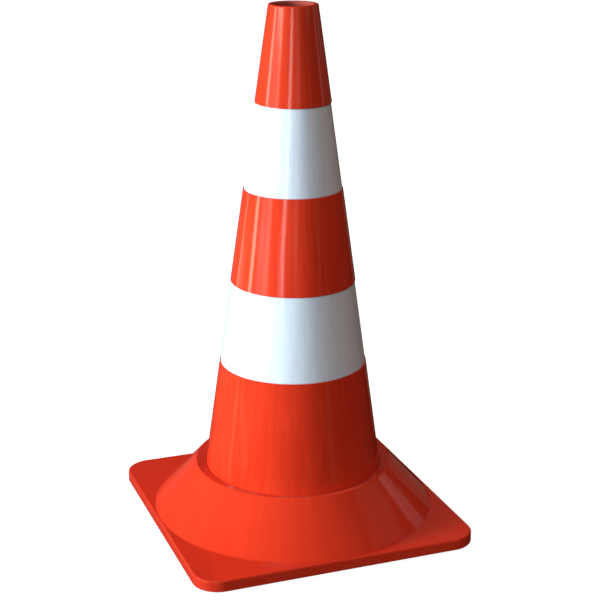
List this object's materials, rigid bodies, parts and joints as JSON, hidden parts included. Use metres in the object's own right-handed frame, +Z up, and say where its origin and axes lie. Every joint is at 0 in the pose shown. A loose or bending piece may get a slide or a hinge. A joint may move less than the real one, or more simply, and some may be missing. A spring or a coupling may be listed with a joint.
{
  "type": "traffic cone",
  "caption": "Tapered hollow traffic cone with sunk reflective sleeves, held down by a square weighted base that lifts off over its top.",
  "frame": {"origin": "on the ground, under the middle of the square base", "axes": "+Z up along the cone's axis; +X and +Y square to the sides of the base, with the sleeves' seams at +Y, the rear"},
  "size_m": [0.415, 0.415, 0.75],
  "materials": {
    "body_plastic": "glossy moulded orange-red",
    "base_plastic": "glossy moulded orange-red",
    "reflective_film": "smooth white reflective film",
    "ballast_rubber": "coarse recycled rubber",
    "foot_rubber": "matt moulded rubber"
  },
  "bodies": {
    "cone": {"cone_body": "body_plastic", "upper_reflective_sleeve": "reflective_film", "lower_reflective_sleeve": "reflective_film"},
    "base": {"base_shell": "base_plastic", "ballast_ring": "ballast_rubber", "rubber_foot_front_left": "foot_rubber", "rubber_foot_front_right": "foot_rubber", "rubber_foot_rear_left": "foot_rubber", "rubber_foot_rear_right": "foot_rubber"}
  },
  "joints": [
    {"name": "base_lift", "type": "slide", "parent": "cone", "child": "base", "axis": [0, 0, 1], "range_m": [0, 0.76]}
  ]
}
